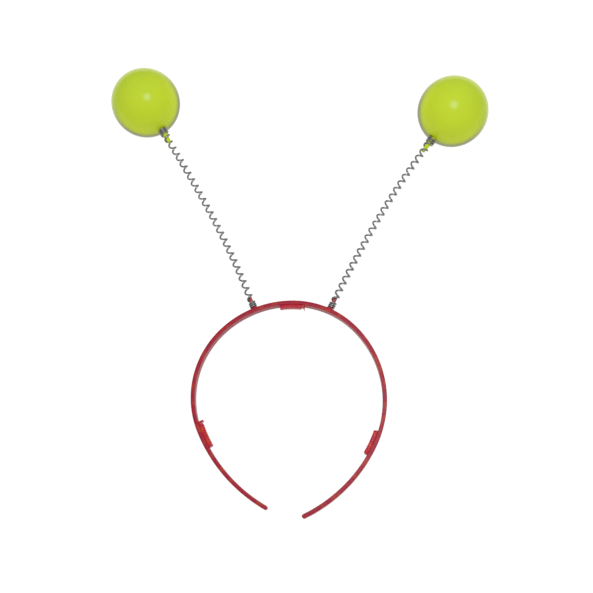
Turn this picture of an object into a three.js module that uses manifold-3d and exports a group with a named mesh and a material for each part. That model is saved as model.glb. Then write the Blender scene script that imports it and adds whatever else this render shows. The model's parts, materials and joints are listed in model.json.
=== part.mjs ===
// Head bopper: a springy plastic headband with two hollow balls on coil springs, lying on its side.
// Millimetres, +Z up. +Y runs from the band's open end to the balls, and +X is to the right seen from
// above. The origin is under the middle of the whole, on the surface that the piece lies on.
import * as THREE from 'three';
import { mergeVertices } from 'three/addons/utils/BufferGeometryUtils.js';
import Module from 'manifold-3d';

// Headband
const headRadius = 62; // mean radius of the band's middle line round the head
const bandThickness = 2.6;
const bandDepth = 6.6; // front to back on the head, and the height of the band as it lies
const bandEdge = 0.5; // bevel along the four long edges
const bandStep = 5.5; // longest straight step along the band's outline
const tipSteps = 4; // straight steps round a tip

// The middle line's three arcs on each side of the crown, as shares of headRadius, with the first two
// arcs' sweeps in degrees. The real band is a little out of true, so its two sides aren't alike.
const crownSweep = 45;
const cheekSweep = 70;
const halves = {
  left: { crown: 1.042, cheek: 0.956, arm: 1.627 },
  right: { crown: 0.92, cheek: 1.08, arm: 1.513 },
};
const leftArmEnd = 188; // along the middle line, from the crown's top to the tip
const rightArmEnd = 190;

// Springs, and the pegs that they are pushed on
const crownPlace = -0.65; // middle of the pegs and the top comb along the band, from its highest point
const pegDistance = 25.35; // along the band, from there to a peg
const pegLength = 8.5;
const pegDome = 0.5; // height of a peg's rounded end
const collarHeight = 0.8; // seat of a spring's first coil
const collarOverhang = 0.3; // of the collar past the spring
const springDiameter = 4.9; // outside
const wireDiameter = 1.1;
const fitGap = 0.2; // between a spring and what it sits on
const coilGap = 0.25; // between the closed coils
const openPitch = 5.4;
const footCoils = 2.25; // closed coils round a peg
const topCoils = 2.5; // closed coils round a stem's root
const pitchRamp = 0.5; // turns over which the pitch opens
const wireSides = 5;
const stepsPerTurn = 10;

// Balls. Each has a tapered stem that is pushed into its spring's top, which widens to fit.
const ballWidth = 48.2;
const ballHeight = 48.4; // along the stem's axis
const ballWall = 1;
const stemLength = 12; // from the ball's surface
const stemRoot = 4.2; // diameter at the ball
const stemBore = 1.2; // diameter of the hole through which the hollow ball was blown
const stemChamfer = 0.3;
const ballReach = 164.7; // plan distance from a peg's foot to the middle of its ball
const bendHandle = 0.36; // roundness of a spring's bend, as a share of its open length
const stemRise = 5; // degrees, of a stem above the level
const ballSides = 24;

// Where each ball lies: its reach as a share of ballReach, and the directions, in degrees from +Y, of
// the ball seen from the peg's foot and of its stem.
const bends = {
  left: { side: -1, reach: 1.024, ball: 29, stem: 32 },
  right: { side: 1, reach: 0.977, ball: 31.3, stem: 35.5 },
};

// Combs that grip the hair, on the inside of the band. The side combs' places are measured along the
// middle line, from the crown's top to the comb's middle.
const combGap = 0.3; // between a comb and the band
const combDepth = 5.6;
const combBase = 0.6;
const combCorner = 0.7;
const toothPitch = 1.7;
const toothSlot = 0.35;
const toothBridge = 0.6; // height of the web left between teeth above the base
const looseTooth = 0.9; // thickness of the single tooth at one end
const looseRise = 0.6; // of that tooth past the rest
const looseSlot = 1.4; // between it and the rest
const looseLean = 0.4;
const topHeight = 1.5;
const sideHeight = 2.3;
const topLength = 17.1;
const leftLength = 18;
const rightLength = 16.5;
const leftPlace = 126.5;
const rightPlace = 126.8;
const combs = [
  { name: 'comb_top', middle: crownPlace, length: topLength, height: topHeight, looseEnd: 1 },
  { name: 'comb_left', middle: -leftPlace, length: leftLength, height: sideHeight, looseEnd: 1 },
  { name: 'comb_right', middle: rightPlace, length: rightLength, height: sideHeight, looseEnd: -1 },
];

// Colours
const bandRed = new THREE.MeshStandardMaterial({ color: 0x9e2837, roughness: 0.25, metalness: 0 });
const combRed = new THREE.MeshStandardMaterial({ color: 0xb92332, roughness: 0.3, metalness: 0 });
const ballLime = new THREE.MeshStandardMaterial({ color: 0xbacd39, roughness: 0.15, metalness: 0 });
const springSteel = new THREE.MeshStandardMaterial({ color: 0x9a9a96, roughness: 0.3, metalness: 1 });

const UP = new THREE.Vector3(0, 0, 1);
const springRadius = springDiameter / 2;
const wireRadius = wireDiameter / 2;
const closedPitch = wireDiameter + coilGap;
const pegRadius = springRadius - wireDiameter - fitGap; // of a stem's tip too
const stemEnd = ballHeight / 2 + stemLength; // from the ball's middle to the stem's tip

const wasm = await Module();
wasm.setup();

function radians(degrees) {
  return THREE.MathUtils.degToRad(degrees);
}

// Point and outward normal of the band's middle line, at a distance along it from the crown's top.
// Distances on the left are negative.
function middleLine(distance) {
  const side = distance < 0 ? -1 : 1;
  const half = side < 0 ? halves.left : halves.right;
  const arcs = [
    { radius: half.crown * headRadius, sweep: radians(crownSweep) },
    { radius: half.cheek * headRadius, sweep: radians(cheekSweep) },
    { radius: half.arm * headRadius, sweep: Infinity },
  ];
  let rest = Math.abs(distance);
  let heading = 0;
  let centre = new THREE.Vector2(0, -arcs[0].radius);
  for (const [index, arc] of arcs.entries()) {
    const turn = Math.min(rest / arc.radius, arc.sweep);
    heading += turn;
    rest -= turn * arc.radius;
    if (rest < 1e-9) {
      const normal = new THREE.Vector2(Math.sin(heading), Math.cos(heading));
      const point = centre.clone().addScaledVector(normal, arc.radius);
      return {
        point: new THREE.Vector2(side * point.x, point.y),
        normal: new THREE.Vector2(side * normal.x, normal.y),
      };
    }
    const step = arc.radius - arcs[index + 1].radius;
    centre = centre.clone().add(new THREE.Vector2(Math.sin(heading), Math.cos(heading)).multiplyScalar(step));
  }
  throw new Error('the distance lies past the band');
}

// Point at a distance along the band and an offset outward from its middle line.
function bandPoint(distance, offset) {
  const { point, normal } = middleLine(distance);
  return point.addScaledVector(normal, offset);
}

// Half circle round a tip of the band, from the outer face to the inner one on the right side, and
// from the inner face to the outer one on the left.
function tipPoints(distance) {
  const { point, normal } = middleLine(distance);
  const side = Math.sign(distance);
  const along = new THREE.Vector2(side * normal.y, -side * normal.x);
  const points = [];
  for (let i = 1; i < tipSteps; i += 1) {
    const angle = (Math.PI * i) / tipSteps;
    const spot = point.clone().addScaledVector(normal, (side * Math.cos(angle) * bandThickness) / 2);
    points.push(spot.addScaledVector(along, (Math.sin(angle) * bandThickness) / 2));
  }
  return points;
}

function bandOutline() {
  const steps = Math.ceil((leftArmEnd + rightArmEnd) / bandStep);
  const outer = [];
  const inner = [];
  for (let i = 0; i <= steps; i += 1) {
    const distance = THREE.MathUtils.lerp(-leftArmEnd, rightArmEnd, i / steps);
    outer.push(bandPoint(distance, bandThickness / 2));
    inner.unshift(bandPoint(distance, -bandThickness / 2));
  }
  return new THREE.Shape([...outer, ...tipPoints(rightArmEnd), ...inner, ...tipPoints(-leftArmEnd)]);
}

function bandGeometry() {
  const geometry = new THREE.ExtrudeGeometry(bandOutline(), {
    depth: bandDepth - 2 * bandEdge,
    bevelThickness: bandEdge,
    bevelSize: bandEdge,
    bevelOffset: -bandEdge,
    bevelSegments: 1,
  });
  return geometry.translate(0, 0, bandEdge);
}

// Peg and collar as one turned form, from the band's middle line outward along +Y.
function pegGeometry() {
  const collarRadius = springRadius + collarOverhang;
  const seat = bandThickness / 2 + collarHeight;
  const profile = [
    new THREE.Vector2(0, 0),
    new THREE.Vector2(collarRadius, 0),
    new THREE.Vector2(collarRadius, seat),
    new THREE.Vector2(pegRadius, seat),
    new THREE.Vector2(pegRadius, seat + pegLength - pegDome),
    new THREE.Vector2(pegRadius - pegDome, seat + pegLength),
    new THREE.Vector2(0, seat + pegLength),
  ];
  return new THREE.LatheGeometry(profile, 16);
}

// Lays a form made along +Y on the peg's place on one side of the band.
function placeAtPeg(geometry, side) {
  const { point, normal } = middleLine(crownPlace + side * pegDistance);
  const turn = new THREE.Quaternion().setFromUnitVectors(
    new THREE.Vector3(0, 1, 0),
    new THREE.Vector3(normal.x, normal.y, 0),
  );
  return geometry.applyQuaternion(turn).translate(point.x, point.y, bandDepth / 2);
}

function toSolid(geometry) {
  const bare = geometry.clone();
  bare.deleteAttribute('normal');
  bare.deleteAttribute('uv');
  const merged = mergeVertices(bare, 1e-4);
  return new wasm.Manifold(new wasm.Mesh({
    numProp: 3,
    vertProperties: new Float32Array(merged.attributes.position.array),
    triVerts: new Uint32Array(merged.index.array),
  }));
}

function fromSolid(solid) {
  const mesh = solid.getMesh();
  const geometry = new THREE.BufferGeometry();
  geometry.setAttribute('position', new THREE.BufferAttribute(mesh.vertProperties, 3));
  geometry.setIndex(new THREE.BufferAttribute(mesh.triVerts, 1));
  return geometry;
}

// The band and its two pegs are one moulding.
function headband() {
  let solid = toSolid(bandGeometry());
  for (const { side } of Object.values(bends)) {
    solid = solid.add(toSolid(placeAtPeg(pegGeometry(), side)));
  }
  const mesh = new THREE.Mesh(fromSolid(solid), bandRed);
  mesh.name = 'headband';
  return mesh;
}

// Outline of a comb as pairs of a distance from its loose end and a height off its back.
function combOutline(length, height) {
  const tip = height + looseRise;
  const web = combBase + toothBridge;
  const outline = [[0, 0], [-looseLean, tip], [looseTooth / 2 - looseLean, tip], [looseTooth, combBase]];
  let start = looseTooth + looseSlot;
  outline.push([start, combBase]);
  while (start + 2 * toothPitch < length) {
    const end = start + toothPitch - toothSlot;
    outline.push([start, height], [end, height], [end, web]);
    start += toothPitch;
    outline.push([start, web]);
  }
  outline.push([start, height], [length - combCorner, height]);
  outline.push([length, height - combCorner], [length, 0]);
  return outline;
}

function comb({ name, middle, length, height, looseEnd }) {
  const back = -bandThickness / 2 - combGap;
  const points = combOutline(length, height).map(([along, rise]) => (
    bandPoint(middle + looseEnd * (length / 2 - along), back - rise)
  ));
  const geometry = new THREE.ExtrudeGeometry(new THREE.Shape(points), {
    depth: combDepth,
    bevelEnabled: false,
  });
  const mesh = new THREE.Mesh(geometry, combRed);
  mesh.position.z = (bandDepth - combDepth) / 2;
  mesh.name = name;
  return mesh;
}

// Height of a ball's surface over its middle, at a distance from its axis.
function outerHeight(radius) {
  return (ballHeight / 2) * Math.sqrt(1 - (radius / (ballWidth / 2)) ** 2);
}

// A ball and its stem, turned about +Y with the ball's middle at the origin and the stem downward.
function ballGeometry() {
  const bore = stemBore / 2;
  const arcSteps = 13;
  const profile = [];
  const innerStart = Math.asin(bore / (ballWidth / 2 - ballWall));
  for (let i = 0; i <= arcSteps; i += 1) {
    const angle = THREE.MathUtils.lerp(Math.PI, innerStart, i / arcSteps);
    const radius = i === 0 ? 0 : (ballWidth / 2 - ballWall) * Math.sin(angle);
    profile.push(new THREE.Vector2(radius, -(ballHeight / 2 - ballWall) * Math.cos(angle)));
  }
  profile.push(new THREE.Vector2(bore, -stemEnd));
  profile.push(new THREE.Vector2(pegRadius - stemChamfer, -stemEnd));
  profile.push(new THREE.Vector2(stemRadius(stemEnd - stemChamfer), stemChamfer - stemEnd));
  const outerStart = Math.asin(stemRoot / ballWidth);
  for (let i = 0; i <= arcSteps; i += 1) {
    const angle = THREE.MathUtils.lerp(outerStart, Math.PI, i / arcSteps);
    const radius = i === arcSteps ? 0 : (ballWidth / 2) * Math.sin(angle);
    profile.push(new THREE.Vector2(radius, -(ballHeight / 2) * Math.cos(angle)));
  }
  return new THREE.LatheGeometry(profile, ballSides);
}

// Radius of the tapered stem at a distance from the ball's middle. Past its tip the spring stays as wide.
function stemRadius(distance) {
  const share = (stemEnd - distance) / (stemEnd - outerHeight(stemRoot / 2));
  return pegRadius + (stemRoot / 2 - pegRadius) * Math.max(share, 0);
}

// Direction of a stem towards its ball.
function stemDirection({ side, stem }) {
  const plan = radians(stem);
  const rise = radians(stemRise);
  return new THREE.Vector3(
    side * Math.sin(plan) * Math.cos(rise),
    Math.cos(plan) * Math.cos(rise),
    Math.sin(rise),
  );
}

// Middle of a ball that touches the surface that the piece lies on.
function ballCentre(bend) {
  const foot = bandPoint(crownPlace + bend.side * pegDistance, bandThickness / 2);
  const plan = radians(bend.ball);
  const reach = bend.reach * ballReach;
  const rise = radians(stemRise);
  const height = Math.hypot((ballWidth / 2) * Math.cos(rise), (ballHeight / 2) * Math.sin(rise));
  return new THREE.Vector3(
    foot.x + bend.side * reach * Math.sin(plan),
    foot.y + reach * Math.cos(plan),
    height,
  );
}

function ball(name, bend) {
  const mesh = new THREE.Mesh(ballGeometry(), ballLime);
  mesh.quaternion.setFromUnitVectors(new THREE.Vector3(0, 1, 0), stemDirection(bend));
  mesh.position.copy(ballCentre(bend));
  mesh.name = name;
  return mesh;
}

// Axis of a spring: straight up its peg, one bend through the air, and straight along the stem to the
// ball. It gives the point, the tangent and the coils' radius at a distance from the first coil.
function springAxis(bend) {
  const place = crownPlace + bend.side * pegDistance;
  const { normal } = middleLine(place);
  const foot = bandPoint(place, bandThickness / 2 + collarHeight + wireRadius + fitGap);
  const start = new THREE.Vector3(foot.x, foot.y, bandDepth / 2);
  const up = new THREE.Vector3(normal.x, normal.y, 0);
  const into = stemDirection(bend);
  const pegTop = start.clone().addScaledVector(up, pegLength);
  const stemTip = ballCentre(bend).addScaledVector(into, -stemEnd);
  const handle = bendHandle * pegTop.distanceTo(stemTip);
  const air = new THREE.CubicBezierCurve3(
    pegTop,
    pegTop.clone().addScaledVector(up, handle),
    stemTip.clone().addScaledVector(into, -handle),
    stemTip,
  );
  air.arcLengthDivisions = 400;
  const airLength = air.getLength();
  const stemLine = stemEnd - outerHeight(stemRoot / 2) - wireRadius - fitGap;
  const at = (distance) => {
    const inAir = distance - pegLength;
    const radius = stemRadius(stemEnd + airLength - inAir) + fitGap + wireRadius;
    if (inAir <= 0) {
      return { point: start.clone().addScaledVector(up, distance), tangent: up, radius };
    }
    if (inAir >= airLength) {
      return { point: stemTip.clone().addScaledVector(into, inAir - airLength), tangent: into, radius };
    }
    const share = inAir / airLength;
    return { point: air.getPointAt(share), tangent: air.getTangentAt(share), radius };
  };
  return { at, length: pegLength + airLength + stemLine };
}

// Turns by which a pitch that opens over pitchRamp turns has fully opened, counted as open turns.
function openedTurns(turns) {
  if (turns <= 0) {
    return 0;
  }
  return turns < pitchRamp ? turns ** 2 / (2 * pitchRamp) : turns - pitchRamp / 2;
}

// Middle line of a spring's wire: closed coils at the foot and the top, and open ones between.
class SpringWire extends THREE.Curve {
  constructor(axis) {
    super();
    this.axis = axis;
    const growth = openPitch - closedPitch;
    this.turns = (axis.length + growth * (footCoils + topCoils + pitchRamp)) / openPitch;
  }

  getPoint(share, target = new THREE.Vector3()) {
    const turn = share * this.turns;
    const opened = openedTurns(turn - footCoils) - openedTurns(turn - this.turns + topCoils + pitchRamp);
    const { point, tangent, radius } = this.axis.at(closedPitch * turn + (openPitch - closedPitch) * opened);
    const across = UP.clone().cross(tangent).normalize();
    const above = tangent.clone().cross(across);
    const angle = 2 * Math.PI * turn;
    return target.copy(point)
      .addScaledVector(across, radius * Math.cos(angle))
      .addScaledVector(above, radius * Math.sin(angle));
  }
}

function wireSection() {
  const points = [];
  for (let i = 0; i < wireSides; i += 1) {
    const angle = (2 * Math.PI * i) / wireSides;
    points.push(new THREE.Vector2(Math.cos(angle), Math.sin(angle)).multiplyScalar(wireRadius));
  }
  return new THREE.Shape(points);
}

function spring(name, bend) {
  const wire = new SpringWire(springAxis(bend));
  const steps = Math.ceil(wire.turns * stepsPerTurn);
  wire.arcLengthDivisions = steps * 10;
  const geometry = new THREE.ExtrudeGeometry(wireSection(), { steps, extrudePath: wire });
  const mesh = new THREE.Mesh(geometry, springSteel);
  mesh.name = name;
  return mesh;
}

const headBopper = new THREE.Group();
headBopper.add(headband(), ...combs.map(comb));
for (const [name, bend] of Object.entries(bends)) {
  headBopper.add(spring(`spring_${name}`, bend), ball(`ball_${name}`, bend));
}

const extent = new THREE.Box3().setFromObject(headBopper, true);
const middle = extent.getCenter(new THREE.Vector3());
headBopper.position.set(-middle.x, -middle.y, -extent.min.z);

export default headBopper;
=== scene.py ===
# Head bopper: a springy headband of tinted plastic, with two hollow lime balls nodding on coil springs.
# It lies on its side on a pale table. Metres, +Z up, +Y from the band's open end towards the balls.
import json
import math

import bpy
from mathutils import Matrix, Vector


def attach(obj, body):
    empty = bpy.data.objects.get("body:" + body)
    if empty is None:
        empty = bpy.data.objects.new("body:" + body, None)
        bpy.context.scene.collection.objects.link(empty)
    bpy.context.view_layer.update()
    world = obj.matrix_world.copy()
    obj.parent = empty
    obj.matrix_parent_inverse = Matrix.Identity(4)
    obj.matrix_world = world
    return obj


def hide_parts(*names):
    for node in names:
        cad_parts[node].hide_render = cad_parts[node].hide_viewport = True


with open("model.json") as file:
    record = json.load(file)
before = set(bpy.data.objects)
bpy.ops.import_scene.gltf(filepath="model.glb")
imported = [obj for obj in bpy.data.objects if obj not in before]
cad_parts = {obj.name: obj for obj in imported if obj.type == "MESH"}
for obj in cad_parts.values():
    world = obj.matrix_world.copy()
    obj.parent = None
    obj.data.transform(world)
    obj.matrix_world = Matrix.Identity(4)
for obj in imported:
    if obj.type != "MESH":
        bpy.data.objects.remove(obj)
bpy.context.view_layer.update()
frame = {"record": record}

# The headband is one injection moulding of clear-tinted red plastic: a flat strip with rounded tips that
# comes out of the mould as an open hoop, a little out of true. Two pegs stand on its crown, each on a
# round collar, and take the springs. The strip is modelled straight and then bent along its middle line.
head_radius = 0.062
band_thickness = 0.0026
band_depth = 0.0066
band_edge = 0.0005
band_step = 0.0015
tip_round = 0.00128
curve_steps = 64
arc_sweeps = (math.radians(45), math.radians(70))
left_arcs = (1.042, 0.956, 1.627)
right_arcs = (0.92, 1.08, 1.513)
left_length = 0.188
right_length = 0.190
crown = Vector(frame["record"]["mounts"][0]["pos_m"])
crown_place = -0.00065  # along the band from its highest point, like the combs' places
peg_distance = 0.02535
peg_length = 0.0085
peg_dome = 0.0005
peg_facets = 48
collar_height = 0.0008
collar_overhang = 0.0003
collar_round = 0.3 * collar_height
spring_radius = 0.00245
wire_radius = 0.00055
fit_gap = 0.0002
# Painted reflection: below these heights the walls take a paler colour that stands in for the pale floor
# reflected in them.
reflection_heights = (0.0062, 0.0052)  # heights between which the face's colour gives way to the sides'
# Painted shade: below these heights the walls darken towards the edge that lies on the floor.
floor_shade_heights = (0.0026, 0.0012)  # heights between which the sides' colour gives way to the far edge's
hair = 1e-6  # places this close count as one
lined_up = 0.9  # a direction with this much of its length along an axis counts as running along it


def deselect_all():
    if bpy.context.mode != "OBJECT":
        bpy.ops.object.mode_set(mode="OBJECT")
    bpy.ops.object.select_all(action="DESELECT")


def activate(piece):
    """Leaves one piece selected and active, in object mode."""
    deselect_all()
    piece.select_set(True)
    bpy.context.view_layer.objects.active = piece


def pick(piece, kind, wanted):
    """Goes to edit mode with the VERT, EDGE or FACE elements selected that wanted says yes to. It is asked
    with an element's middle and its direction: a face's or vertex's normal, or the way that an edge runs."""
    activate(piece)
    bpy.ops.object.mode_set(mode="EDIT")
    bpy.ops.mesh.select_mode(type=kind)
    bpy.ops.mesh.select_all(action="DESELECT")
    bpy.ops.object.mode_set(mode="OBJECT")
    mesh = piece.data
    if kind == "VERT":
        for vertex in mesh.vertices:
            vertex.select = wanted(vertex.co, vertex.normal)
    elif kind == "EDGE":
        for edge in mesh.edges:
            start, end = (mesh.vertices[i].co for i in edge.vertices)
            edge.select = wanted((start + end) / 2, (end - start).normalized())
    else:
        for face in mesh.polygons:
            face.select = wanted(face.center, face.normal)
    bpy.ops.object.mode_set(mode="EDIT")


def modify(piece, kind, **settings):
    """Adds a modifier to a piece and applies it."""
    activate(piece)
    modifier = piece.modifiers.new(kind.title(), kind)
    for name, value in settings.items():
        setattr(modifier, name, value)
    bpy.ops.object.modifier_apply(modifier=modifier.name)


def settle(piece, name, smooth_angle):
    """Applies a finished piece's place, merges what meets, turns its faces outward and smooths it."""
    activate(piece)
    bpy.ops.object.transform_apply(location=True, rotation=True, scale=True)
    bpy.ops.object.mode_set(mode="EDIT")
    bpy.ops.mesh.select_all(action="SELECT")
    bpy.ops.mesh.remove_doubles(threshold=2 * hair)
    bpy.ops.mesh.normals_make_consistent(inside=False)
    bpy.ops.object.mode_set(mode="OBJECT")
    bpy.ops.object.shade_smooth_by_angle(angle=math.radians(smooth_angle))
    piece.name = name
    piece.data.name = name


def bezier(name, dimensions, joints):
    """A curve through joints, each with its place, its two handles and how wide it makes what it bends."""
    deselect_all()
    bpy.ops.curve.primitive_bezier_curve_add()
    curve = bpy.context.object
    curve.name = name
    curve.data.dimensions = dimensions
    curve.data.resolution_u = curve_steps
    points = curve.data.splines[0].bezier_points
    points.add(len(joints) - len(points))
    for point, (place, before, after, width) in zip(points, joints):
        point.handle_left_type = point.handle_right_type = "FREE"
        point.co = place
        point.handle_left = before
        point.handle_right = after
        point.radius = width
    return curve


def half_line(side, shares, length):
    """One half of the middle line: the crown's handle towards it, and its joints from there to the tip,
    each with its place and its handles towards the crown and towards the tip."""
    radii = [share * head_radius for share in shares]
    sweeps = [*arc_sweeps, (length - radii[0] * arc_sweeps[0] - radii[1] * arc_sweeps[1]) / radii[2]]
    handles = [4 / 3 * math.tan(sweep / 4) * radius for radius, sweep in zip(radii, sweeps)]
    heading = 0
    centre = crown - Vector((0, radii[0], 0))
    joints = []
    for i, (radius, sweep) in enumerate(zip(radii, sweeps)):
        heading += sweep
        outward = Vector((side * math.sin(heading), math.cos(heading), 0))
        onward = Vector((side * math.cos(heading), -math.sin(heading), 0))
        place = centre + radius * outward
        after = handles[i + 1] if i + 1 < len(radii) else handles[i]
        joints.append((place, place - handles[i] * onward, place + after * onward))
        if i + 1 < len(radii):
            centre += (radius - radii[i + 1]) * outward
    return crown + Vector((side * handles[0], 0, 0)), joints


left_handle, left_half = half_line(-1, left_arcs, left_length)
right_handle, right_half = half_line(1, right_arcs, right_length)
middle_joints = [(place, to_tip, to_crown, 1) for place, to_crown, to_tip in reversed(left_half)]
middle_joints.append((crown, left_handle, right_handle, 1))
middle_joints += [(place, to_crown, to_tip, 1) for place, to_crown, to_tip in right_half]
middle_line = bezier("middle_line", "2D", middle_joints)


def bend_along_band(piece):
    """Bends a piece made along +X, with the left tip at 0 and outward along +Y, along the band."""
    modify(piece, "CURVE", object=middle_line, deform_axis="POS_X")


band_length = left_length + right_length
deselect_all()
bpy.ops.mesh.primitive_grid_add(
    x_subdivisions=round(band_length / band_step),
    y_subdivisions=2,
    size=1,
    location=(band_length / 2, 0, 0),
)
headband = bpy.context.object
headband.scale = (band_length + band_thickness, band_thickness, 1)
bpy.ops.object.transform_apply(location=True, rotation=True, scale=True)
bpy.ops.object.mode_set(mode="EDIT")
bpy.ops.mesh.select_all(action="SELECT")
bpy.ops.mesh.extrude_region_move(TRANSFORM_OT_translate={"value": (0, 0, band_depth)})
pick(
    headband,
    "EDGE",
    lambda middle, way: abs(way.z) > lined_up
    and abs(middle.x - band_length / 2) > band_length / 2
    and abs(middle.y) > band_thickness / 2 - hair,
)
bpy.ops.mesh.bevel(offset=tip_round, segments=7, affect="EDGES")
bpy.ops.object.mode_set(mode="OBJECT")
modify(
    headband,
    "BEVEL",
    width=band_edge,
    segments=4,
    limit_method="ANGLE",
    angle_limit=math.radians(50),
    harden_normals=False,
)
bend_along_band(headband)

peg_radius = spring_radius - 2 * wire_radius - fit_gap
collar_radius = spring_radius + collar_overhang


def peg_frame(side):
    """Foot of a peg on the middle line, and the way that the peg stands."""
    radius = head_radius * (left_arcs if side < 0 else right_arcs)[0]
    heading = (peg_distance + side * crown_place) / radius
    up = Vector((side * math.sin(heading), math.cos(heading), 0))
    foot = crown + Vector((0, -radius, band_depth / 2)) + radius * up
    return foot, up


for side in (-1, 1):
    foot, up = peg_frame(side)
    seat = band_thickness / 2 + collar_height
    deselect_all()
    bpy.ops.mesh.primitive_cylinder_add(
        vertices=peg_facets, radius=collar_radius, depth=seat, location=(0, 0, seat / 2)
    )
    peg = bpy.context.object
    bpy.ops.object.transform_apply(location=True, rotation=True, scale=True)
    pick(peg, "FACE", lambda middle, way: way.z > lined_up)
    bpy.ops.mesh.inset(thickness=collar_radius - peg_radius, depth=0)
    bpy.ops.mesh.extrude_region_move(TRANSFORM_OT_translate={"value": (0, 0, peg_length)})
    pick(peg, "EDGE", lambda middle, way: middle.z > seat + peg_length - hair)
    bpy.ops.mesh.bevel(offset=peg_dome, segments=5, affect="EDGES")
    pick(
        peg,
        "EDGE",
        lambda middle, way: abs(middle.z - seat) < hair
        and middle.xy.length > (peg_radius + collar_radius) / 2,
    )
    bpy.ops.mesh.bevel(offset=collar_round, segments=3, affect="EDGES")
    bpy.ops.object.mode_set(mode="OBJECT")
    peg.rotation_mode = "QUATERNION"
    peg.rotation_quaternion = Vector((0, 0, 1)).rotation_difference(up)
    peg.location = foot
    bpy.ops.object.transform_apply(location=True, rotation=True, scale=True)
    modify(headband, "BOOLEAN", operation="UNION", solver="EXACT", object=peg)
    bpy.data.objects.remove(peg)

settle(headband, "band_moulding", smooth_angle=35)


class Value:
    """A node's output socket. Sums, differences and products of such sockets add their Math nodes."""

    def __init__(self, tree, socket):
        self.tree = tree
        self.socket = socket

    def math(self, operation, first, second):
        node = self.tree.nodes.new("ShaderNodeMath")
        node.operation = operation
        for slot, term in zip(node.inputs, (first, second)):
            if isinstance(term, Value):
                self.tree.links.new(term.socket, slot)
            else:
                slot.default_value = term
        return Value(self.tree, node.outputs[0])

    def __add__(self, other):
        return self.math("ADD", self, other)

    def __radd__(self, other):
        return self.math("ADD", other, self)

    def __sub__(self, other):
        return self.math("SUBTRACT", self, other)

    def __rsub__(self, other):
        return self.math("SUBTRACT", other, self)

    def __mul__(self, other):
        return self.math("MULTIPLY", self, other)

    def __rmul__(self, other):
        return self.math("MULTIPLY", other, self)


class Finish:
    """A material's nodes, or a world's."""

    def __init__(self, owner):
        owner.use_nodes = True
        self.owner = owner
        self.tree = owner.node_tree
        self.tree.nodes.clear()

    def node(self, kind, settings, sockets, output=0):
        """Adds a node: its settings are set first, then the values or links of its sockets."""
        node = self.tree.nodes.new("ShaderNode" + kind)
        for name, value in settings.items():
            setattr(node, name, value)
        for name, value in sockets.items():
            socket = node.inputs[name]
            if isinstance(value, Value):
                self.tree.links.new(value.socket, socket)
            elif socket.type == "RGBA":
                socket.default_value = (*value, 1)
            else:
                socket.default_value = value
        if node.outputs:
            return Value(self.tree, node.outputs[output])

    def noise(self, place, scale, detail):
        """Soft noise from 0 to 1, with about scale patches to a metre."""
        return self.node("TexNoise", {}, {"Vector": place, "Scale": scale, "Detail": detail})

    def blend(self, factor, first, second):
        """A colour between two."""
        return self.node("Mix", {"data_type": "RGBA"}, {0: factor, 6: first, 7: second}, output=2)

    def step(self, value, begin, end):
        """A soft step: 0 where a value is at begin and 1 where it is at end."""
        return self.node("MapRange", {"interpolation_type": "SMOOTHSTEP"}, {
            "Value": value,
            "From Min": begin,
            "From Max": end,
        })

    def bump(self, height, distance):
        return self.node("Bump", {}, {"Height": height, "Distance": distance})

    def output(self, surface, kind="OutputMaterial"):
        self.node(kind, {}, {"Surface": surface})


def new_finish(name):
    return Finish(bpy.data.materials.new(name))


def wear(piece, finish):
    """Gives a piece its finish and nothing else."""
    piece.data.materials.clear()
    piece.data.materials.append(finish.owner)


def tinted_plastic(name, body, warm, cool, side, edge, tint, clearness):
    """Clear-tinted moulding plastic: a body colour with warmer and cooler clouds, sides made paler by a
    painted reflection of the pale floor, painted shade deepening its far edge, and a share of its surface
    that lets light through, tinted."""
    finish = new_finish(name)
    place = finish.node("TexCoord", {}, {}, "Object")
    height = finish.node("SeparateXYZ", {}, {"Vector": place}, "Z")
    clouds = finish.noise(place, scale=230, detail=1)
    swirls = finish.noise(place, scale=420, detail=2)
    warmed = finish.step(clouds, 0.54, 0.66)
    cooled = finish.step(clouds, 0.46, 0.34)
    # Painted reflection: the side colour paints the pale floor's reflection onto the walls below the top
    # face.
    painted_reflection_sides = finish.step(height, *reflection_heights)
    # Painted shade: the edge colour deepens the walls near the floor, where shade falls.
    painted_floor_shade = finish.step(height + 0.0012 * swirls, *floor_shade_heights)
    colour = finish.blend(warmed, body, warm)
    colour = finish.blend(cooled, colour, cool)
    colour = finish.blend(0.85 * painted_reflection_sides, colour, side)
    colour = finish.blend(painted_floor_shade, colour, edge)
    solid = finish.node("BsdfPrincipled", {}, {
        "Base Color": colour,
        "Roughness": 0.24 + 0.16 * swirls,
        "Specular IOR Level": 0.15,
        "Normal": finish.bump(clouds + 0.5 * swirls, distance=0.00012),
    })
    clear = finish.node("BsdfTransparent", {}, {"Color": tint})
    finish.output(finish.node("MixShader", {}, {0: clearness, 1: solid, 2: clear}))
    return finish


# The side colour is a painted reflection of the pale floor on the walls, and the edge colour is painted shade
# where the walls meet the floor.
crimson = tinted_plastic(
    "crimson_plastic",
    body=(0.36, 0.012, 0.030),
    warm=(0.40, 0.034, 0.026),
    cool=(0.31, 0.013, 0.042),
    side=(0.42, 0.080, 0.090),
    edge=(0.16, 0.050, 0.045),
    tint=(0.60, 0.03, 0.07),
    clearness=0.15,
)
wear(headband, crimson)
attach(headband, "root")
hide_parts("headband")

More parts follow.
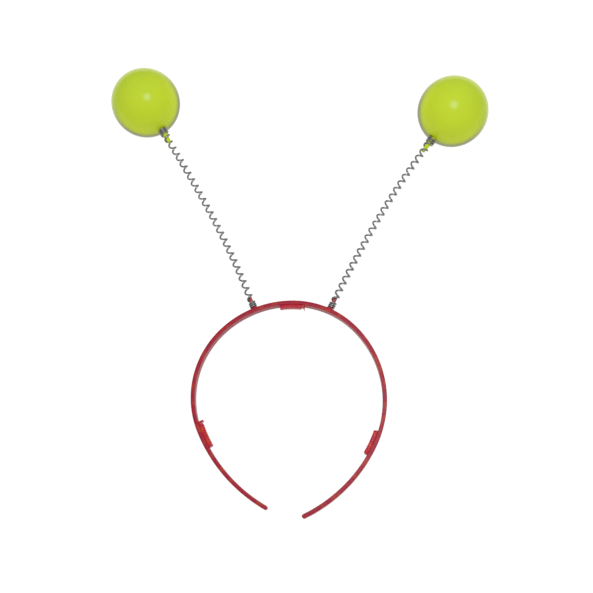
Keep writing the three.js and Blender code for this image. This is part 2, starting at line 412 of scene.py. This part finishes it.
# Three combs of the same plastic in a brighter red sit on the inside of the band and grip the hair. Each is
# a strip with a row of flat teeth that nearly touch, and one thin, tapered tooth that stands apart at one
# end. That tooth's slot, its rise past the rest and its lean away from them are set for each comb.
comb_seam = 0.00003
comb_back = 0.0003
comb_depth = 0.0056
comb_base = 0.0006
comb_corner = 0.0007
comb_edge = 0.00005
tooth_pitch = 0.0017
tooth_slot = 0.00035
tooth_bridge = 0.0006
loose_tooth = 0.0009
loose_taper = 0.5
combs = {
    "top": {
        "middle": crown_place, "length": 0.0171, "height": 0.0015,
        "loose_end": 1, "slot": 0.0014, "rise": 0.0006, "lean": 0.0002,
    },
    "left": {
        "middle": -0.1265, "length": 0.018, "height": 0.0023,
        "loose_end": 1, "slot": 0.0012, "rise": 0.0006, "lean": 0.0002,
    },
    "right": {
        "middle": 0.1268, "length": 0.0165, "height": 0.0023,
        "loose_end": -1, "slot": 0.0007, "rise": 0, "lean": -0.0006,
    },
}

# As for the band, side is a painted reflection of the pale floor and edge is painted shade near the floor.
cherry = tinted_plastic(
    "cherry_plastic",
    body=(0.50, 0.014, 0.030),
    warm=(0.60, 0.050, 0.022),
    cool=(0.44, 0.012, 0.050),
    side=(0.56, 0.030, 0.045),
    edge=(0.46, 0.020, 0.030),
    tint=(0.70, 0.04, 0.06),
    clearness=0.15,
)


def comb_teeth(length, slot):
    """Where the strip's stretches start and end, from its loose end, and which of them are teeth."""
    start = loose_tooth + slot
    stretches = [(0, loose_tooth, True), (loose_tooth, start, False)]
    while start + 2 * tooth_pitch < length:
        end = start + tooth_pitch - tooth_slot
        stretches += [(start, end, True), (end, start + tooth_pitch, False)]
        start += tooth_pitch
    return [*stretches, (start, length, True)]


def drop_edges(strip, level, begin, end, depth):
    """Draws the strip's lower edges between two places down from a level."""
    pick(
        strip,
        "EDGE",
        lambda middle, way: abs(way.x) > lined_up and abs(middle.y + level) < hair and begin < middle.x < end,
    )
    bpy.ops.mesh.extrude_region_move(TRANSFORM_OT_translate={"value": (0, -depth, 0)})


for where, comb in combs.items():
    length, height, slot = comb["length"], comb["height"], comb["slot"]
    stretches = comb_teeth(length, slot)
    deselect_all()
    bpy.ops.mesh.primitive_plane_add(size=1)
    strip = bpy.context.object
    back = comb_back - comb_seam
    strip.scale = (loose_tooth, comb_base + back, 1)
    strip.location = (loose_tooth / 2, (back - comb_base) / 2, 0)
    bpy.ops.object.transform_apply(location=True, rotation=True, scale=True)
    for begin, end, _ in stretches[1:]:
        pick(strip, "EDGE", lambda middle, way: abs(middle.x - begin) < hair)
        bpy.ops.mesh.extrude_region_move(TRANSFORM_OT_translate={"value": (end - begin, 0, 0)})
    drop_edges(strip, comb_base, loose_tooth + slot, length, tooth_bridge)
    web = comb_base + tooth_bridge
    for begin, end, is_tooth in stretches[2:]:
        if is_tooth:
            drop_edges(strip, web, begin, end, height - web)
    drop_edges(strip, comb_base, 0, loose_tooth, height + comb["rise"] - comb_base)
    taper_middle = -comb["lean"] / (1 - loose_taper)
    bpy.ops.transform.resize(value=(loose_taper, 1, 1), center_override=(taper_middle, 0, 0))
    bpy.ops.mesh.select_all(action="SELECT")
    bpy.ops.mesh.extrude_region_move(TRANSFORM_OT_translate={"value": (0, 0, comb_depth)})
    pick(
        strip,
        "EDGE",
        lambda middle, way: abs(way.z) > lined_up and middle.x > length - hair and middle.y < hair - height,
    )
    bpy.ops.mesh.bevel(offset=comb_corner, segments=4, affect="EDGES")
    bpy.ops.object.mode_set(mode="OBJECT")
    strip.scale.x = -comb["loose_end"]
    strip.location = (
        left_length + comb["middle"] + comb["loose_end"] * length / 2,
        -band_thickness / 2 - comb_back,
        (band_depth - comb_depth) / 2,
    )
    bpy.ops.object.transform_apply(location=True, rotation=True, scale=True)
    modify(strip, "BEVEL", width=comb_edge, segments=2, limit_method="ANGLE")
    bend_along_band(strip)
    settle(strip, "hair_comb_" + where, smooth_angle=35)
    wear(strip, cherry)
    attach(strip, "root")
    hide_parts("comb_" + where)

# The springs are coiled from bright drawn steel wire, with closed coils round the peg and, widened to fit it,
# round the root of the ball's tapered stem. The wire's line is wound straight, bent along the spring's axis
# and drawn out to a round wire, fuller than its fit by wire_glare, as glare makes bright wire look.
coil_gap = 0.00025
open_pitch = 0.0054
foot_coils = 2.25
top_coils = 2.5
pitch_ramp = 0.5
ramp_smoothing = 30
coil_steps = 24
wire_facets = 4
wire_glare = 0.0001
ball_width = 0.0482
ball_height = 0.0484
ball_wall = 0.001
stem_length = 0.012
stem_root = 0.0021
stem_bore = 0.0006
stem_chamfer = 0.0003
ball_reach = 0.1647
bend_handle = 0.36
stem_rise = math.radians(5)
steel_dull = (0.19, 0.19, 0.186)
steel_bright = (0.30, 0.30, 0.295)
# Each ball's share of ball_reach, and how far its middle and its stem lean outwards.
bends = {
    "left": {"side": -1, "reach": 1.024, "ball": math.radians(29), "stem": math.radians(32)},
    "right": {"side": 1, "reach": 0.977, "ball": math.radians(31.3), "stem": math.radians(35.5)},
}
stem_end = ball_height / 2 + stem_length
coil_radius = spring_radius - wire_radius


def stem_way(bend):
    """The way from a stem's tip to the middle of its ball."""
    level = math.cos(stem_rise)
    return Vector((
        bend["side"] * math.sin(bend["stem"]) * level,
        math.cos(bend["stem"]) * level,
        math.sin(stem_rise),
    ))


def ball_middle(bend):
    """Middle of a ball that touches the floor."""
    foot, up = peg_frame(bend["side"])
    outer = foot + up * band_thickness / 2
    reach = bend["reach"] * ball_reach
    height = math.hypot(ball_width / 2 * math.cos(stem_rise), ball_height / 2 * math.sin(stem_rise))
    return Vector((
        outer.x + bend["side"] * reach * math.sin(bend["ball"]),
        outer.y + reach * math.cos(bend["ball"]),
        height,
    ))


def oval_height(half_width, half_height, radius):
    """Height of an oval's surface over its middle, at a distance from its axis."""
    return half_height * math.sqrt(1 - (radius / half_width) ** 2)


root_height = oval_height(ball_width / 2, ball_height / 2, stem_root)


def stem_radius(distance):
    """Radius of the tapered stem at a distance from the ball's middle."""
    return peg_radius + (stem_root - peg_radius) * (stem_end - distance) / (stem_end - root_height)


def spring_axis(bend):
    """The axis as a curve: straight up the peg, one bend through the air, and straight along the stem."""
    foot, up = peg_frame(bend["side"])
    start = foot + up * (band_thickness / 2 + collar_height + wire_radius + fit_gap)
    peg_top = start + up * peg_length
    into = stem_way(bend)
    tip = ball_middle(bend) - into * stem_end
    last_coil = root_height + wire_radius + fit_gap
    end = tip + into * (stem_end - last_coil)
    handle = bend_handle * (tip - peg_top).length
    step = up * peg_length / 3
    last = (end - tip) / 3
    widening = (stem_radius(last_coil) + fit_gap + wire_radius) / coil_radius
    return bezier("axis", "3D", [
        (start, start - step, start + step, 1),
        (peg_top, peg_top - step, peg_top + up * handle, 1),
        (tip, tip - into * handle, tip + last, 1),
        (end, end - last, end + last, widening),
    ])


steel = new_finish("spring_steel")
steel_place = steel.node("TexCoord", {}, {}, "Object")
drawn = steel.noise(steel_place, scale=2500, detail=3)
clouded = steel.noise(steel_place, scale=120, detail=2)
steel.output(steel.node("BsdfPrincipled", {}, {
    "Base Color": steel.blend(clouded, steel_dull, steel_bright),
    "Metallic": 1.0,
    "Roughness": 0.2 + 0.16 * drawn,
    "Normal": steel.bump(drawn, distance=0.00001),
}))

for where, bend in bends.items():
    axis = spring_axis(bend)
    axis_length = axis.data.splines[0].calc_length()
    closed_pitch = 2 * wire_radius + coil_gap
    foot_turns = foot_coils + pitch_ramp / 2
    top_turns = top_coils + pitch_ramp / 2
    open_turns = (axis_length - (foot_turns + top_turns) * closed_pitch) / open_pitch
    turns = foot_turns + open_turns + top_turns
    deselect_all()
    bpy.ops.mesh.primitive_plane_add(size=coil_radius)
    wire = bpy.context.object
    bpy.ops.object.mode_set(mode="EDIT")
    bpy.ops.mesh.select_mode(type="VERT")
    bpy.ops.mesh.select_all(action="SELECT")
    bpy.ops.mesh.merge(type="CENTER")
    bpy.ops.transform.translate(value=(coil_radius, 0, 0))
    bpy.ops.object.mode_set(mode="OBJECT")
    modify(
        wire,
        "SCREW",
        axis="Z",
        angle=2 * math.pi * turns,
        screw_offset=closed_pitch * turns,
        steps=round(turns * coil_steps),
        render_steps=round(turns * coil_steps),
        use_smooth_shade=False,
    )
    foot_top = foot_turns * closed_pitch
    stretch = open_pitch / closed_pitch
    pick(wire, "VERT", lambda place, way: place.z > foot_top)
    bpy.ops.transform.resize(value=(1, 1, stretch), center_override=(0, 0, foot_top))
    top_start = axis_length - top_turns * closed_pitch
    pick(wire, "VERT", lambda place, way: place.z > top_start)
    bpy.ops.transform.resize(value=(1, 1, 1 / stretch), center_override=(0, 0, top_start))
    bpy.ops.mesh.select_all(action="SELECT")
    bpy.ops.mesh.vertices_smooth(factor=0.5, repeat=ramp_smoothing, xaxis=False, yaxis=False)
    modify(wire, "CURVE", object=axis, deform_axis="POS_Z")
    activate(wire)
    bpy.ops.object.convert(target="CURVE")
    wire = bpy.context.object
    wire.data.bevel_depth = wire_radius + wire_glare
    wire.data.bevel_resolution = wire_facets
    wire.data.use_fill_caps = True
    bpy.ops.object.convert(target="MESH")
    wire = bpy.context.object
    bpy.data.objects.remove(axis)
    settle(wire, "coil_spring_" + where, smooth_angle=60)
    wear(wire, steel)
    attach(wire, "root")
    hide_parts("spring_" + where)

# The balls are blown from clear-tinted lime plastic, about a millimetre thick. The stem is part of the ball:
# it tapers to the size of a peg, and the hole that the ball was blown through runs along it. The lime is
# painted brighter on the stem's side and in a band just inside the rim, painted light in place of light
# through the shell, and deepens to olive at the rim, partly its tint seen edge-on and partly painted shade,
# most of all near the stem.
ball_segments = 96
ball_rings = 64
stem_steps = 4
tip_steps = 4
lime_even = (0.55, 0.69, 0.028)
lime_hazy = (0.60, 0.74, 0.036)
# Painted light: a brighter lime that stands in for light through the shell on the stem's side.
lime_painted_glow = (0.68, 0.80, 0.03)
# Partly painted shade: the olive of the rim, the wall's tint seen edge-on, made deeper near the stem by
# painted shade.
lime_olive_and_shade = (0.15, 0.15, 0.014)
lime_tint = (0.80, 0.92, 0.20)
lime_gloss = (0.5, 0.7, 1)

lime = new_finish("lime_plastic")
lime_place = lime.node("TexCoord", {}, {}, "Object")
haze = lime.noise(lime_place, scale=60, detail=2)
grain = lime.noise(lime_place, scale=700, detail=2)
from_foot = lime.node("SeparateXYZ", {}, {"Vector": lime.node("UVMap", {}, {})}, "Y")
near_stem = lime.step(from_foot, 0.66, 0.3)
edge_on = lime.node("LayerWeight", {}, {"Blend": 0.5}, "Facing")
# Painted light: brighter lime near the stem, strongest in a band just inside the rim, though the ball is no
# lamp.
painted_glow_mask = near_stem * (0.45 + 0.55 * lime.step(edge_on, 0.22, 0.42))
outer = lime.step(edge_on, 0.48, 0.76)
# The olive rim is partly the wall's tint seen edge-on and partly painted shade, so it is strongest near the
# stem.
rim_tint_and_shade = outer * (0.16 + 0.84 * near_stem)
lime_body = lime.blend(haze, lime_even, lime_hazy)
lime_body = lime.blend(painted_glow_mask, lime_body, lime_painted_glow)
lime_body = lime.blend(rim_tint_and_shade, lime_body, lime_olive_and_shade)
lime_solid = lime.node("BsdfPrincipled", {}, {
    "Base Color": lime_body,
    "Roughness": 0.14 + 0.08 * grain,
    "Specular IOR Level": 0.26,
    "Specular Tint": lime_gloss,
    "Normal": lime.bump(grain, distance=0.00001),
})
lime_clear = lime.node("BsdfTransparent", {}, {"Color": lime_tint})
lime.output(lime.node("MixShader", {}, {0: 0.3 - 0.27 * outer, 1: lime_solid, 2: lime_clear}))


def open_oval(half_width, half_height, cut_radius):
    """An oval about +Z, with its foot cut off and the cut's edge brought to a radius."""
    deselect_all()
    bpy.ops.mesh.primitive_uv_sphere_add(segments=ball_segments, ring_count=ball_rings, radius=1)
    oval = bpy.context.object
    oval.scale = (half_width, half_width, half_height)
    bpy.ops.object.transform_apply(location=True, rotation=True, scale=True)
    bpy.ops.object.mode_set(mode="EDIT")
    bpy.ops.mesh.select_all(action="SELECT")
    cut = -oval_height(half_width, half_height, cut_radius)
    bpy.ops.mesh.bisect(plane_co=(0, 0, cut), plane_no=(0, 0, 1), clear_inner=True, threshold=hair)
    pick(oval, "VERT", lambda place, way: place.z < cut + hair)
    found = max(vertex.co.xy.length for vertex in oval.data.vertices if vertex.co.z < cut + hair)
    widen = cut_radius / found
    bpy.ops.transform.resize(value=(widen, widen, 1), center_override=(0, 0, cut))
    bpy.ops.object.mode_set(mode="OBJECT")
    return oval


def stem_profile():
    """Radius and height of each ring down the stem, round its tip and up its bore."""
    shoulder = stem_end - stem_chamfer
    rings = []
    for i in range(1, stem_steps):
        distance = root_height + i / stem_steps * (shoulder - root_height)
        rings.append(Vector((stem_radius(distance), -distance)))
    for i in range(tip_steps + 1):
        turn = math.pi / 2 * i / tip_steps
        out = stem_radius(shoulder) - stem_chamfer * (1 - math.cos(turn))
        rings.append(Vector((out, -shoulder - stem_chamfer * math.sin(turn))))
    rings.append(Vector((stem_bore, -stem_end)))
    inner_height = oval_height(ball_width / 2 - ball_wall, ball_height / 2 - ball_wall, stem_bore)
    rings.append(Vector((stem_bore, -inner_height)))
    return rings


for where, bend in bends.items():
    inner = open_oval(ball_width / 2 - ball_wall, ball_height / 2 - ball_wall, stem_bore)
    ball = open_oval(ball_width / 2, ball_height / 2, stem_root)
    pick(ball, "EDGE", lambda middle, way: middle.z < hair - root_height)
    radius, height = stem_root, -root_height
    for ring in stem_profile():
        bpy.ops.mesh.extrude_region_move(TRANSFORM_OT_translate={"value": (0, 0, ring.y - height)})
        shrink = ring.x / radius
        bpy.ops.transform.resize(value=(shrink, shrink, 1), center_override=(0, 0, ring.y))
        radius, height = ring
    activate(ball)
    inner.select_set(True)
    bpy.ops.object.join()
    ball.rotation_mode = "QUATERNION"
    ball.rotation_quaternion = Vector((0, 0, 1)).rotation_difference(stem_way(bend))
    ball.location = ball_middle(bend)
    settle(ball, "hollow_ball_" + where, smooth_angle=40)
    wear(ball, lime)
    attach(ball, "root")
    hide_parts("ball_" + where)

bpy.data.objects.remove(middle_line)

# The camera looks down on the piece from the side of the band's open end, about half a metre away. Its lens
# is worked out from the picture's width and its focal length, both in pixels.
camera_place = Vector((0.0363, -0.1836, 0.4974))
camera_right = Vector((0.9978, 0.0247, -0.0611)).normalized()
camera_up = Vector((-0.003, 0.9432, 0.3323)).normalized()
camera_back = camera_right.cross(camera_up).normalized()
image_width = 593
focal_pixels = 784.2
bpy.ops.object.camera_add()
camera = bpy.context.object
camera_turn = Matrix((camera_right, camera_back.cross(camera_right), camera_back)).transposed()
camera.matrix_world = Matrix.Translation(camera_place) @ camera_turn.to_4x4()
camera.data.sensor_width = 36
camera.data.lens = focal_pixels / image_width * camera.data.sensor_width
camera.data.clip_start = 0.01
bpy.context.scene.camera = camera
bpy.context.scene.view_settings.view_transform = "Standard"

# The piece lies on a plain white table in a room that is bright overhead and darker round its walls. A small
# round softbox flashes from above the camera.
table_size = 8
table_gap = 0.00005
table_dull = (0.11, 0.11, 0.11)
table_clear = (0.13, 0.13, 0.13)
flash_size = 0.25
flash_power = 1.3
flash_tint = (0.94, 0.97, 1)
flash_rise = 0.2
flash_aside = 0.03
flash_target = Vector((0, 0.08, 0))
wall_light = 0.4
ceiling_light = 0.95

pale = new_finish("pale_table")
table_place = pale.node("TexCoord", {}, {}, "Object")
table_grain = pale.noise(table_place, scale=40, detail=2)
pale.output(pale.node("BsdfPrincipled", {}, {
    "Base Color": pale.blend(table_grain, table_dull, table_clear),
    "Roughness": 0.8,
    "Specular IOR Level": 0.1,
    "Emission Color": (1, 1, 1),
    "Emission Strength": 0.95,
}))
deselect_all()
bpy.ops.mesh.primitive_plane_add(size=table_size, location=(0, 0, -table_gap))
table = bpy.context.object
table.name = "table"
wear(table, pale)

flash_place = camera_place + flash_rise * camera_up + flash_aside * camera_right
flash_turn = (flash_place - flash_target).to_track_quat("Z", "Y").to_matrix().to_4x4()
flash_turn.translation = flash_place
bpy.ops.object.light_add(type="AREA")
flash = bpy.context.object
flash.name = "camera_softbox"
flash.matrix_world = flash_turn
flash.data.shape = "DISK"
flash.data.size = flash_size
flash.data.energy = flash_power
flash.data.color = flash_tint

world = bpy.data.worlds.new("soft_room")
bpy.context.scene.world = world
room = Finish(world)
room_way = room.node("TexCoord", {}, {}, "Generated")
upward = room.node("SeparateXYZ", {}, {"Vector": room_way}, "Z")
room_light = room.node("MapRange", {}, {"Value": upward, "To Min": wall_light, "To Max": ceiling_light})
sky = room.node("Background", {}, {"Color": (1, 1, 1), "Strength": room_light})
room.output(sky, kind="OutputWorld")
